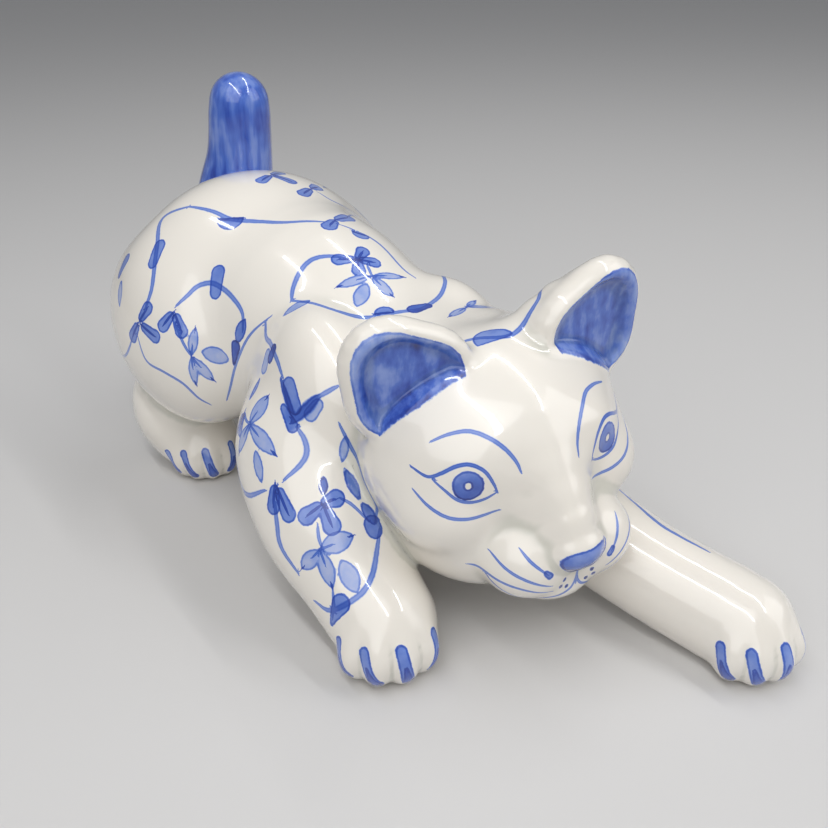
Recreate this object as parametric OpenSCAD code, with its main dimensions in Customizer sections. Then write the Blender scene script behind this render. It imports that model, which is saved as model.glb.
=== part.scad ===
// Hollow slip-cast porcelain cat in a stalking crouch, made of nine cast pieces luted together.
// +Z is up, the cat faces -Y and its left side is +X. Millimetres, origin on the shelf under
// the middle of the whole cat. Every soft outline is found by walking out from a line inside
// the piece until a smooth blend of balls and round-ended cones is left behind.

/* [Body] */
// Half width of the rump
rump_half_w = 52; // [46:56]
// Half height of the rump
rump_half_h = 48; // [44:50]
// Height of the middle of the rump
rump_z = 68; // [66:72]
// Radius of the waist
waist_r = 40; // [36:42]

/* [Head] */
// Half width of the skull across the cheeks
skull_half_w = 42; // [39:44]
// Half height of the skull
skull_half_h = 33; // [31:36]
// Half width of the muzzle
muzzle_half_w = 23; // [21:25]
// Height of the middle of the head
head_z = 60; // [58:64]

/* [Ears] */
// Half width of an ear's flat middle, measured to its rounded corners
ear_r = 14; // [12:15]
// Half thickness of an ear's plate
ear_thick = 5; // [4:6]
// Half width of the hollow in the front of an ear
hollow_r = 10; // [8:11]

/* [Legs and tail] */
// Radius of a forepaw
forepaw_r = 16; // [15:17]
// Radius of a hind paw
hindpaw_r = 13; // [12:14]
// Height of the middle of the tail's round tip
tail_top = 134; // [126:142]
// Radius of the tail near its tip
tail_r = 11.5; // [11:0.5:13]

/* [Casting] */
// Thickness of the cast wall
wall = 3; // [2:0.5:4]
// Diameter of the firing vent under the belly
vent_d = 8; // [5:12]

/* [Hidden] */
sides = 36;                      // corners of a ring around the body and the head
limb_sides = 20;                 // corners of a ring around a leg, an ear or the tail
body_rings = 24;
head_rings = 16;
cap_rings = 5;                   // rings in the round end of a limb
porcelain = "#ece8df";
cobalt = "#2c4fae";
middle = [-2, -3, 0];            // brings the middle of the whole cat over the origin

// Lines inside the pieces: [x, y, z, radius] of each station, from the root outwards
neck_y = -22;                    // plane where the head is luted to the body
spine = [[-10, 84, rump_z + 2, 34], [-5, 50, rump_z + 1, waist_r], [1, 14, 62, 32], [4, -14, 58, 31]];
neck = [[2, -10, 58, 31], [6, -34, 60, 30]];
nape = [[18, 2, 66, 20], [21, -20, 71, 19], [27, -38, 79, 15]];   // up to the left ear
rump = [-10, 84, rump_z];
rump_half_l = 42;
vent = [-4, 46, 0];              // middle of the belly vent, reaching up through the wall
vent_top = 60;
beyond = 200;                    // further than any part of the cat
hip_out = 32;                    // from the middle of the rump to the middle of a thigh
hip_half = [24, 40, 33];
hip_z = 62;
thigh_lean = 12;                 // degrees
shoulder_half = [19, 28, 37];
shoulder_lean = 10;              // degrees
right_shoulder = [-27, 3, 56];
left_shoulder = [24, 2, 55];
right_fore = [[-30, 16, 62, 8], [-36, 6, 51, 20], [-39, -14, 35, 21], [-39, -33, 21, 17],
              [-38, -48, 13, forepaw_r]];
left_fore = [[24, 16, 60, 8], [28, 0, 47, 20], [32, -38, 29, 18], [41, -75, 18, 15.5],
             [52, -110, 12, forepaw_r]];
right_hind = [[-38, 106, 44, 10], [-44, 97, 27, 18], [-43, 90, 16, 16], [-40, 83, 12, hindpaw_r]];
left_hind = [[20, 106, 44, 10], [26, 97, 27, 18], [26, 90, 16, 16], [24, 83, 12, hindpaw_r]];
tail_line = [[0, 98, 70, 10], [-2, 116, 84, 17], [0, 120, 98, 15], [2.5, 119, 114, tail_r + 1],
             [3.5, 117, tail_top, tail_r]];

// The head's own frame: turned to the cat's right, nose a little down, tilted
head_mid = [9, -42, head_z];
head_yaw = -10;
head_pitch = 4;
head_roll = -5;
nose_ridge = [[0, -15, 14, 12], [0, -24, 4, 12], [1, -35, -6, 9.5]];
skull_mid = [-2.5, 1, 0];
skull_half_l = 32;               // from the middle of the skull to the forehead
jaw_mid = [-2, -7, -21];
jaw_half = [35, 27, 22];
lip_mid = [1.5, -32, -19];       // between the two sides of the muzzle
lip_half = [14, 13, 12.5];       // half sizes of one side of the muzzle
chin_mid = [0, -32, -28];
chin_half = [12, 11, 7.5];
ear_across = [0.82, 0.13, -0.557];   // from an ear's inner corner to its outer one
ear_facing = [0.15, -0.989, 0];
ear_mid = [31, 1, 31];
ear_back = [25, 7, 20];          // middle of the dome behind an ear
ear_back_r = 14;
hollow_mid = [31, -7, 30.5];
hollow_thick = 6;

// Softness of the joins between the balls, from the sharpest to the roundest
crisp = 7;
soft = 10;
full = 14;

function about_x(p, a) = [p.x, p.y * cos(a) - p.z * sin(a), p.y * sin(a) + p.z * cos(a)];
function about_y(p, a) = [p.x * cos(a) + p.z * sin(a), p.y, p.z * cos(a) - p.x * sin(a)];
function about_z(p, a) = [p.x * cos(a) - p.y * sin(a), p.x * sin(a) + p.y * cos(a), p.z];
function from_head(p) = head_mid + about_z(about_x(about_y(p, head_roll), head_pitch), head_yaw);
function to_head(p) = about_y(about_x(about_z(p - head_mid, -head_yaw), -head_pitch), -head_roll);

// Signed distances: negative inside, zero on the skin
function ball(p, half) =
    let (near = norm([p.x / half.x, p.y / half.y, p.z / half.z]),
         far = norm([p.x / pow(half.x, 2), p.y / pow(half.y, 2), p.z / pow(half.z, 2)]))
    near * (near - 1) / max(far, 1e-6);
function at(s) = [s[0], s[1], s[2]];
function cone(p, a, b) =
    let (ab = at(b) - at(a), t = max(0, min(1, (p - at(a)) * ab / (ab * ab))))
    norm(p - at(a) - ab * t) - (a[3] + (b[3] - a[3]) * t);
function chain(p, line) = min([for (i = [0 : len(line) - 2]) cone(p, line[i], line[i + 1])]);
function blend(a, b, k) = let (h = max(k - abs(a - b), 0) / k) min(a, b) - pow(h, 3) * k / 6;

function neck_skin(p) = blend(chain(p, neck), chain(p, nape), crisp);
function thigh(p, side) =
    ball(about_x(p - [rump.x + side * hip_out, rump.y, hip_z], -thigh_lean), hip_half);
function shoulder(p, mid) = ball(about_x(p - mid, shoulder_lean), shoulder_half);
function body_skin(p) =
    let (back = blend(chain(p, spine), ball(p - rump, [rump_half_w, rump_half_l, rump_half_h]), full),
         thighs = blend(blend(back, thigh(p, -1), full), thigh(p, 1), full),
         front = blend(blend(thighs, shoulder(p, right_shoulder), full), shoulder(p, left_shoulder), full))
    blend(front, neck_skin(p), full);
function head_skin(p) =
    let (q = to_head(p),
         skull = ball(q - skull_mid, [skull_half_w, skull_half_l, skull_half_h]),
         jaw = ball(q - jaw_mid, jaw_half),
         bridge = blend(blend(skull, jaw, soft), chain(q, nose_ridge), full),
         off = q - lip_mid,
         lip = [abs(off.x) - muzzle_half_w + lip_half.x, off.y, off.z],
         muzzle = blend(bridge, ball(lip, lip_half), soft),
         chin = ball(q - chin_mid, chin_half))
    blend(blend(muzzle, chin, crisp), neck_skin(p), full);
function skin(p, kind) = kind == "body" ? body_skin(p) : head_skin(p);

// Distance from c along d at which the skin lies, found by halving; depth moves it inwards
function reach(c, d, kind, depth, low = 0, high = 90, n = 10) =
    n == 0 ? (low + high) / 2
    : let (m = (low + high) / 2)
      skin(c + d * m, kind) < -depth ? reach(c, d, kind, depth, m, high, n - 1)
                                     : reach(c, d, kind, depth, low, m, n - 1);

// Rings square to Y from the pole at one end of an axis line to the neck plane
function axis_point(a, b, y) = a + (b - a) * (y - a.y) / (b.y - a.y);
function sock_rings(root, tip, kind, count, depth) =
    let (d = (tip - root) / norm(tip - root),
         pole = root + d * reach(root, d, kind, depth, high = 180, n = 14))
    [for (i = [0 : count])
        let (y = pole.y + (neck_y - pole.y) * (1 - cos(90 * i / count)),
             c = axis_point(root, pole, y))
        i == 0 ? [pole]
        : [for (k = [0 : sides - 1])
              let (a = 360 * k / sides, u = [cos(a), 0, sin(a)])
              c + u * reach(c, u, kind, depth)]];

// One closed skin through a list of rings; a ring of one point is a pole
function bridge(a, na, b, nb, n) =
    na == 1 ? [for (k = [0 : n - 1]) [a, b + (k + 1) % n, b + k]]
    : nb == 1 ? [for (k = [0 : n - 1]) [a + k, a + (k + 1) % n, b]]
    : [for (k = [0 : n - 1])
          each [[a + k, b + (k + 1) % n, b + k], [a + k, a + (k + 1) % n, b + (k + 1) % n]]];
function starts(rings, i = 0, total = 0) =
    i == len(rings) ? [] : concat([total], starts(rings, i + 1, total + len(rings[i])));
module closed_skin(rings, n, flip = false) {
    from = starts(rings);
    faces = [for (i = [0 : len(rings) - 2])
                each bridge(from[i], len(rings[i]), from[i + 1], len(rings[i + 1]), n)];
    polyhedron([for (r = rings) each r], flip ? [for (f = faces) [f[2], f[1], f[0]]] : faces);
}
function backwards(list) = [for (i = [len(list) - 1 : -1 : 0]) list[i]];

// A cast cup: outer skin to the rim, rim, inner skin back to the bottom
body_root = [-4, neck_y, 60];
rump_pole = [-11, 100, 68];
nose_root = [6, neck_y, 58];
nose_pole = from_head([0, -36, -12]);
function body_cup(depth) = sock_rings(body_root, rump_pole, "body", body_rings, depth);
function head_cup(depth) = sock_rings(nose_root, nose_pole, "head", head_rings, depth);

module body_solid() closed_skin(concat(body_cup(0), [[body_root]]), sides, true);
module head_solid() closed_skin(concat(head_cup(0), [[nose_root]]), sides);

// Rings along a line of stations, square to it, with a round end at the last station
function between(a, b, t) = a + (b - a) * t;
function heading(line, i) =
    let (a = at(line[max(i - 1, 0)]), b = at(line[min(i + 1, len(line) - 1)])) (b - a) / norm(b - a);
function curve(line, i, t) =
    let (a = line[i], b = line[i + 1], before = line[max(i - 1, 0)],
         after = line[min(i + 2, len(line) - 1)])
    0.5 * (2 * a + (b - before) * t + (2 * before - 5 * a + 4 * b - after) * t * t
           + (3 * a - before - 3 * b + after) * t * t * t);
steps = 4;                       // rings between two stations
function fine(line) = concat([for (i = [0 : len(line) - 2], s = [0 : steps - 1]) curve(line, i, s / steps)],
                             [line[len(line) - 1]]);
function hoop(c, d, r, squash) =
    let (u = cross([0, 1, 0.3], d) / norm(cross([0, 1, 0.3], d)), v = cross(d, u))
    [for (k = [0 : limb_sides - 1])
        let (a = 360 * k / limb_sides) c + r * (u * cos(a) + v * sin(a) * squash)];
function tube(line, thin, squash = 1) =
    let (path = fine(line), last = path[len(path) - 1], r = last[3] - thin,
         d = heading(path, len(path) - 1))
    concat([for (i = [0 : len(path) - 1]) hoop(at(path[i]), heading(path, i), path[i][3] - thin, squash)],
           [for (i = [1 : cap_rings - 1])
               let (a = 90 * i / cap_rings) hoop(at(last) + d * r * sin(a), d, r * cos(a), squash)],
           [[at(last) + d * r]]);

// Four toes fanned round the front of a paw: heading and spread in degrees, half sizes, distance out
module toes(line, heading, spread, half, out) {
    paw = line[len(line) - 1];
    for (k = [-1.5 : 1.5]) {
        a = heading + k * spread;
        translate([paw.x + out * sin(a), paw.y - out * cos(a), half.z])
            rotate([0, 0, a])
                scale(half / half.x)
                    sphere(half.x, $fn = 20);
    }
}

// One cast limb: hollow, open at its root, flat on the shelf, trimmed where it is luted on.
// Its first child is added to it and its second is cut away, where it has them.
module limb(line) {
    root = [at(line[0])];
    resize([0, 0, 0])
        difference() {
            union() {
                closed_skin(concat(backwards(tube(line, 0)), [root]), limb_sides);
                if ($children > 0)
                    children(0);
            }
            intersection() {
                closed_skin(concat(backwards(tube(line, wall)), [root]), limb_sides);
                translate([-beyond, -beyond, wall])
                    cube(2 * beyond);
            }
            translate([-beyond, -beyond, -2 * beyond])
                cube(2 * beyond);
            body_solid();
            if ($children > 1)
                children(1);
        }
}

// The flat rounded triangle of an ear, a corner up, with a round edge thick wide
module leaf(r, thick) {
    corners = [for (a = [0 : 20 : 340]) r * (1 + 0.12 * cos(3 * a)) * [sin(a), cos(a)]];
    minkowski() {
        linear_extrude(0.2, center = true)
            polygon(corners);
        sphere(thick, $fn = 16);
    }
}
module on_ear(place) {
    up = cross(ear_facing, ear_across);
    multmatrix([for (i = [0 : 2]) [ear_across[i], up[i], ear_facing[i], place[i]]])
        children();
}
module ear(side)
    resize([0, 0, 0])
        difference() {
            translate(head_mid)
                rotate([0, 0, head_yaw])
                    rotate([head_pitch, head_roll, 0])
                        mirror([1 - side, 0, 0])
                            difference() {
                                hull() {
                                    on_ear(ear_mid)
                                        leaf(ear_r, ear_thick);
                                    translate(ear_back)
                                        sphere(ear_back_r, $fn = 32);
                                }
                                on_ear(hollow_mid)
                                    leaf(hollow_r, hollow_thick);
                            }
            head_solid();
            body_solid();
        }

module body_shell() color(porcelain) translate(middle)
    difference() {
        closed_skin(concat(body_cup(0), backwards(body_cup(wall))), sides, true);
        translate(vent)
            cylinder(h = vent_top, d = vent_d, $fn = 32);
    }

module head_shell() color(porcelain) translate(middle)
    closed_skin(concat(head_cup(0), backwards(head_cup(wall))), sides);

module right_ear() color(porcelain) translate(middle) ear(-1);
module left_ear() color(porcelain) translate(middle) ear(1);
forepaw_toe = [7, 11, 10.5];
hindpaw_toe = [6, 10, 9.5];
module right_foreleg() color(porcelain) translate(middle)
    limb(right_fore) {
        toes(right_fore, -27, 30, forepaw_toe, 9);
        head_solid();
    }
module left_foreleg() color(porcelain) translate(middle)
    limb(left_fore) {
        toes(left_fore, -20, 28, forepaw_toe, 8.5);
        head_solid();
    }
module right_hind_leg() color(porcelain) translate(middle)
    limb(right_hind)
        toes(right_hind, -30, 29, hindpaw_toe, 7);
module left_hind_leg() color(porcelain) translate(middle)
    limb(left_hind)
        toes(left_hind, 22, 29, hindpaw_toe, 7);
module tail() color(cobalt) translate(middle)
    limb(tail_line);

body_shell();
head_shell();
right_ear();
left_ear();
right_foreleg();
left_foreleg();
right_hind_leg();
left_hind_leg();
tail();
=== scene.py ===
"""Blue-and-white porcelain cat in a stalking crouch: nine hollow casts luted together, painted
in cobalt under a clear glaze. The skin is one smooth field of balls and tapered chains, in
millimetres; it is meshed, painted, parted along the luted seams and given its cast wall."""
import math
import bpy
import numpy as np
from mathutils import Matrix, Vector


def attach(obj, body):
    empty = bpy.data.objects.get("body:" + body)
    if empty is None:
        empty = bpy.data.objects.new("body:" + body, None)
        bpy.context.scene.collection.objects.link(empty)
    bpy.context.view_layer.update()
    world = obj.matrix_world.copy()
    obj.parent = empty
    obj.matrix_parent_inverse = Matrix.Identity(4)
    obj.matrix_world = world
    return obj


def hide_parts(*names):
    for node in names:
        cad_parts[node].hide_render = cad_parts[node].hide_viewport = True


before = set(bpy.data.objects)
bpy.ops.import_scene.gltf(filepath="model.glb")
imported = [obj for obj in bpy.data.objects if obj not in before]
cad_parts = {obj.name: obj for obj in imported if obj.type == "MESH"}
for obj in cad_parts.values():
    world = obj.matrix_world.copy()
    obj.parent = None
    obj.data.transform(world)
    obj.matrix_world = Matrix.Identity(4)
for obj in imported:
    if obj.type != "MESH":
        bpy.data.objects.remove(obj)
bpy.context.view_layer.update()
MM = 0.001

# ---------------------------------------------------------------- shape of the cat, in mm
MIDDLE = np.array([-2.0, -3.0, 0.0])      # brings the middle of the cat over the origin
WALL = 3.0
NECK_Y = -22.0

# Lines inside the casts: x, y, z, radius of each station
SPINE = [(-10, 84, 70, 34), (-5, 50, 69, 40), (1, 14, 62, 32), (4, -14, 58, 31)]
NECK = [(2, -10, 58, 31), (6, -34, 60, 30)]
NAPE = [(18, 2, 66, 20), (21, -20, 71, 19), (27, -38, 77, 14)]
RIGHT_FORE = [(-30, 16, 62, 8), (-36, 6, 51, 20), (-39, -14, 35, 21.5), (-39, -33, 21, 17),
              (-38, -48, 13, 16)]
LEFT_FORE = [(24, 16, 60, 8), (28, 0, 47, 20), (32, -38, 29, 18), (41, -75, 18, 15.5), (52, -110, 12, 15.5)]
RIGHT_HIND = [(-38, 106, 44, 10), (-44, 97, 27, 18), (-43, 90, 16, 16), (-40, 83, 12, 13)]
LEFT_HIND = [(20, 106, 44, 10), (26, 97, 27, 18), (26, 90, 16, 16), (24, 83, 12, 13)]
TAIL = [(0, 98, 70, 10), (-2, 116, 84, 17), (0, 120.5, 98, 15), (2.5, 119, 114, 12.5),
        (3.5, 117, 134.5, 11.5)]

# Balls that fill the trunk out: middle, half sizes, and tilt forwards in degrees
RUMP, RUMP_HALF = (-10, 84, 68), (52, 42, 48)
THIGHS, THIGH_HALF, THIGH_TILT = [(-42, 84, 62), (22, 84, 62)], (24, 42, 33), 12
SHOULDERS, SHOULDER_HALF, SHOULDER_TILT = [(-27, 3, 56), (24, 2, 55)], (19, 28, 37), -10

# How widely each part is rounded into what it sits on, mm
FILLET = {
    "rump": 14, "thigh": 14, "shoulder": 16, "hind_leg": 6, "foreleg": 11, "toes": 5, "tail": 5,
    "neck": 14, "nape": 8, "head": 6, "jaw": 12, "ridge": 12, "brow": 10, "socket": 9, "cheek": 10,
    "muzzle": 8, "groove": 7, "nose": 4, "chin": 7, "ear": 7, "ear_back": 9, "ear_root": 6,
    "ear_rim": 1.7, "forehead": 1, "sole": 1.5, "limb": 2,
}

# The head's own frame: turned to its right, nose a little down, tilted
HEAD_MID = np.array([9.0, -42.0, 60.0])


def unit(v):
    """Rows of v brought to length 1."""
    return v / np.maximum(np.linalg.norm(v, axis=-1, keepdims=True), 1e-12)


def turned(yaw=0, pitch=0, roll=0):
    """Rotation by roll about Y, then pitch about X, then yaw about Z, in degrees."""
    y, x, r = np.radians([yaw, pitch, roll])
    about_z = np.array([[np.cos(y), -np.sin(y), 0], [np.sin(y), np.cos(y), 0], [0, 0, 1]])
    about_x = np.array([[1, 0, 0], [0, np.cos(x), -np.sin(x)], [0, np.sin(x), np.cos(x)]])
    about_y = np.array([[np.cos(r), 0, np.sin(r)], [0, 1, 0], [-np.sin(r), 0, np.cos(r)]])
    return about_z @ about_x @ about_y


HEAD_TURN = turned(-10, 4, -5)
NOSE_RIDGE = [(0, -15, 14, 12), (0, -24, 4, 12), (1, -35, -6, 9.5)]
NOSE_GROOVE = [(14, -38, 6, 4), (14, -43, 0, 5), (15, -46, -7, 4)]
EYES_MID, NOSE_MID = -1.5, 1.5

# Balls of the head in its frame: middle and half sizes. A paired one is given for the cat's left.
SKULL = (-2.5, 1, 0), (42, 32, 33)
JAW = (-2, -7, -21), (35, 27, 22)
BROW, BROW_TILT = ((16, -18, 12), (12, 8, 7)), 20
SOCKET = (29, -38, 3), (12, 11, 8)
CHEEK = (25, -14, -6), (14, 14, 13)
MUZZLE = (9.5, -32, -19), (14.5, 13, 12.5)
NOSE_TIP = (NOSE_MID, -43, -12), (8, 5.5, 6)
CHIN = (0, -32, -28), (12, 11, 7.5)

# Painted nose and irises in the head's frame
NOSE_PAD, NOSE_R, NOSE_SQUEEZE = (2.3, 0, -13.9), 6.2, (0.79, 1.0, 1.08)
# Each iris is a ring round an unpainted dot: the pale pupil, with a painted highlight
IRIS_X, IRIS_Z, IRIS_R, PUPIL_AND_HIGHLIGHT_R = 22.8, 8.7, 4.4, 0.9


def to_head(p):
    """Places of the cat's frame in the head's."""
    return (p - HEAD_MID) @ HEAD_TURN


def one_side(q, side, middle=0.0):
    """Places as the side at 1 sees them, or mirrored about x = middle for the side at -1."""
    return (q - [middle, 0, 0]) * [side, 1, 1]


def blend(a, b, k):
    """The lower of two fields, rounded over where they come within k of each other."""
    h = np.maximum(k - np.abs(a - b), 0.0) / k
    return np.minimum(a, b) - h ** 3 * k / 6.0


def carve(a, b, k):
    """Field a with the solid of field b taken away, its edge rounded over k."""
    return -blend(-a, b, k)


def ball(p, middle, half, turn=None):
    """An ellipsoid's field, near enough a distance round its skin."""
    q = p - np.asarray(middle, float)
    if turn is not None:
        q = q @ turn
    half = np.asarray(half, float)
    near = np.sqrt(((q / half) ** 2).sum(1))
    far = np.sqrt(((q / half ** 2) ** 2).sum(1))
    return near * (near - 1) / np.maximum(far, 1e-9)


def smooth_line(points, steps):
    """Points on a smooth curve through the stations, whatever their columns."""
    p = np.asarray(points, float)
    p = np.vstack([2 * p[0] - p[1], p, 2 * p[-1] - p[-2]])
    out = []
    for i in range(1, len(p) - 2):
        t = np.linspace(0, 1, steps, endpoint=False)[:, None]
        out.append(0.5 * (2 * p[i] + (p[i + 1] - p[i - 1]) * t
                          + (2 * p[i - 1] - 5 * p[i] + 4 * p[i + 1] - p[i + 2]) * t ** 2
                          + (3 * p[i] - p[i - 1] - 3 * p[i + 1] + p[i + 2]) * t ** 3))
    return np.vstack(out + [p[-2:-1]])


def only_near(field, p, stations, margin=24.0):
    """A field worked out only round its stations; further off, the gap to the ball round them."""
    s = np.asarray(stations, float)
    mid = s[:, :3].mean(0)
    reach = (np.linalg.norm(s[:, :3] - mid, axis=1) + s[:, 3]).max()
    gap = np.linalg.norm(p - mid, axis=1) - reach
    close = gap < margin
    gap[close] = field(p[close])
    return gap


def chain(p, stations, steps=5):
    """A smooth limb through stations of place and radius."""
    s = smooth_line(stations, steps)
    best = np.full(len(p), 1e9)
    for a, b in zip(s[:-1], s[1:]):
        ab = b[:3] - a[:3]
        t = np.clip((p - a[:3]) @ ab / (ab @ ab), 0, 1)
        d = np.linalg.norm(p - a[:3] - t[:, None] * ab, axis=1) - (a[3] + t * (b[3] - a[3]))
        best = blend(best, d, FILLET["limb"])
    return best


def leaf_outline(p, middle, across, facing, radius, points=30, bulge=0.12):
    """Signed gap to a flat rounded triangle with a corner up, height over it, and place across it."""
    n = unit(np.array(facing, float))
    u = unit(np.array(across, float) - (np.array(across) @ n) * n)
    w = np.cross(n, u)
    q = p - np.asarray(middle, float)
    x, y = q @ u, q @ w
    turn = np.linspace(0, 2 * np.pi, points, endpoint=False)
    r = radius * (1 + bulge * np.cos(3 * turn))
    px, py = r * np.sin(turn), r * np.cos(turn)
    edge, inside = np.full(len(p), 1e9), np.ones(len(p), bool)
    for i in range(points):
        k = (i + 1) % points
        dx, dy = px[k] - px[i], py[k] - py[i]
        t = np.clip(((x - px[i]) * dx + (y - py[i]) * dy) / (dx * dx + dy * dy), 0, 1)
        edge = np.minimum(edge, np.hypot(x - px[i] - t * dx, y - py[i] - t * dy))
        inside &= (x - px[i]) * dy - (y - py[i]) * dx > 0
    return np.where(inside, -edge, edge), q @ n, x


def leaf_plate(p, middle, across, facing, radius, thick):
    """A flat rounded triangle with a round edge thick wide."""
    gap, height, _ = leaf_outline(p, middle, across, facing, radius)
    return np.hypot(np.maximum(gap, 0.0), height) - thick


TOES = (-1.5, -0.5, 0.5, 1.5)      # the four toes of a paw, in spreads from its heading
OUTER_TOE_BACK = 0.04
TOE_LIFT = 0.92


def toes(p, paw, heading, reach, size, spread):
    """Four toes fanned round the front of a paw."""
    best = np.full(len(p), 1e9)
    for k in TOES:
        a = np.radians(heading + k * spread)
        r = reach * (1 - OUTER_TOE_BACK * abs(k))
        mid = (paw[0] + r * np.sin(a), paw[1] - r * np.cos(a), size[2] * TOE_LIFT)
        best = np.minimum(best, ball(p, mid, size, turned(np.degrees(a))))
    return best


def trunk(p):
    """The body between neck, legs and tail."""
    f = blend(chain(p, SPINE), ball(p, RUMP, RUMP_HALF), FILLET["rump"])
    for mid in THIGHS:
        f = blend(f, ball(p, mid, THIGH_HALF, turned(pitch=THIGH_TILT)), FILLET["thigh"])
    for mid in SHOULDERS:
        f = blend(f, ball(p, mid, SHOULDER_HALF, turned(pitch=SHOULDER_TILT)), FILLET["shoulder"])
    return f


def leg(p, line, heading, size, reach, spread):
    """A leg with its paw, on the line of its stations."""
    def whole(q):
        return blend(chain(q, line), toes(q, line[-1], heading, reach, size, spread), FILLET["toes"])
    return only_near(whole, p, line)


# Stations, toe heading in degrees, half sizes of a toe, its reach, and degrees between toes
LEGS = {
    "right_foreleg": (RIGHT_FORE, -27, (6.8, 11.0, 10.5), 9.0, 30),
    "left_foreleg": (LEFT_FORE, -20, (6.6, 11.0, 10.0), 8.5, 28),
    "right_hind_leg": (RIGHT_HIND, -30, (6.2, 10.0, 9.5), 7.0, 29),
    "left_hind_leg": (LEFT_HIND, 22, (6.2, 10.0, 9.5), 7.0, 29),
}


def skull(q):
    """The head without ears, in its own frame, nose towards -Y."""
    f = blend(ball(q, *SKULL), ball(q, *JAW), FILLET["jaw"])
    f = blend(f, chain(q, NOSE_RIDGE, 2), FILLET["ridge"])
    for side in (-1, 1):
        s = one_side(q, side, EYES_MID)
        f = blend(f, ball(s, *BROW, turned(roll=BROW_TILT)), FILLET["brow"])
        f = carve(f, ball(s, *SOCKET), FILLET["socket"])
        f = blend(f, ball(s, *CHEEK), FILLET["cheek"])
    for side in (-1, 1):
        s = one_side(q, side, NOSE_MID)
        f = blend(f, ball(s, *MUZZLE), FILLET["muzzle"])
        f = carve(f, chain(s, NOSE_GROOVE, 2), FILLET["groove"])
    f = blend(f, ball(q, *NOSE_TIP), FILLET["nose"])
    return blend(f, ball(q, *CHIN), FILLET["chin"])


# Ears: middle and radius of the plate and of its hollow, inner to outer corner, and facing
EAR_MID, EAR_R, EAR_THICK = (31.0, 1.0, 31.2), 14.2, 5.0
EAR_ACROSS, EAR_FACING = (25, 4, -17), (0.15, -0.99, -0.01)
HOLLOW_MID, HOLLOW_R, HOLLOW_THICK = (31.0, -7.2, 30.9), 10.5, 6.0
EAR_BLUE_MID, EAR_BLUE_R = (32.2, -3.0, 32.2), 16.0
HOLLOW_LIFT = 1.7          # how far the hollows stay off the forehead
EAR_BACK = [(23, 8, 17, 15), (28, 5, 27, 10)]
LEFT_EAR_ROOT = [(13, 5, 26, 10), (24, 5, 36.5, 7.5), (36, 3, 42.5, 6)]
ROUND_EAR = (28, 4, 28, 26)      # a ball that holds an ear: place and radius


def ear(q, side):
    """One ear in the head's frame: a rounded triangle with a thicker back."""
    s = one_side(q, side)
    f = leaf_plate(s, EAR_MID, EAR_ACROSS, EAR_FACING, EAR_R, EAR_THICK)
    f = blend(f, chain(s, EAR_BACK, 2), FILLET["ear_back"])
    return blend(f, chain(s, LEFT_EAR_ROOT, 2), FILLET["ear_root"]) if side > 0 else f


def ear_hollow(q, side):
    """What is pressed out of an ear's front."""
    s = one_side(q, side)
    return leaf_plate(s, HOLLOW_MID, EAR_ACROSS, EAR_FACING, HOLLOW_R, HOLLOW_THICK)


def fields(p):
    """Every cast's own field, before they are luted together."""
    q = to_head(p)
    out = {name: leg(p, *spec) for name, spec in LEGS.items()}
    out["tail"] = only_near(lambda r: chain(r, TAIL), p, TAIL)
    out["body_shell"] = trunk(p)
    out["neck"] = blend(chain(p, NECK, 1), chain(p, NAPE, 2), FILLET["nape"])
    out["head_shell"] = skull(q)
    for name, side in (("right_ear", -1), ("left_ear", 1)):
        out[name] = only_near(lambda s: ear(s, side), q, [(side * ROUND_EAR[0], *ROUND_EAR[1:])])
    hollows = np.minimum(ear_hollow(q, -1), ear_hollow(q, 1))
    out["hollows"] = carve(hollows, out["head_shell"] - HOLLOW_LIFT, FILLET["forehead"])
    return out


def cat(p):
    """The whole skin: negative inside."""
    f = fields(p)
    body, head = f["body_shell"], f["head_shell"]
    for part in ("hind_leg", "foreleg"):
        for side in ("right_", "left_"):
            body = blend(body, f[side + part], FILLET[part])
    body = blend(body, f["tail"], FILLET["tail"])
    for side in ("right_", "left_"):
        head = blend(head, f[side + "ear"], FILLET["ear"])
    head = carve(head, f["hollows"], FILLET["ear_rim"])
    head = blend(head, f["neck"], FILLET["neck"])
    whole = blend(body, head, FILLET["head"])
    return carve(whole, p[:, 2], FILLET["sole"])


# ---------------------------------------------------------------- skin as a mesh
def in_parts(field, p, size=150000):
    """A field worked out for so many places at a time, to spare memory."""
    return np.concatenate([field(p[i:i + size]) for i in range(0, len(p), size)])


def sampled(field, low, high, step, coarse=3, band=1.9):
    """Field values on a grid, worked out in full only near the skin."""
    low = np.array(low, float)
    count = np.ceil((np.array(high) - low) / step).astype(int) + 1
    few = count // coarse + 2
    axes = [low[i] + np.arange(few[i]) * step * coarse for i in range(3)]
    corners = np.stack(np.meshgrid(*axes, indexing="ij"), -1).reshape(-1, 3)
    values = in_parts(field, corners).reshape(few)
    for axis in range(3):
        values = np.repeat(values, coarse, axis)
    values = values[:count[0], :count[1], :count[2]]
    near = np.argwhere(np.abs(values) < band * coarse * step)
    values[tuple(near.T)] = in_parts(field, low + near * step)
    return values


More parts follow.
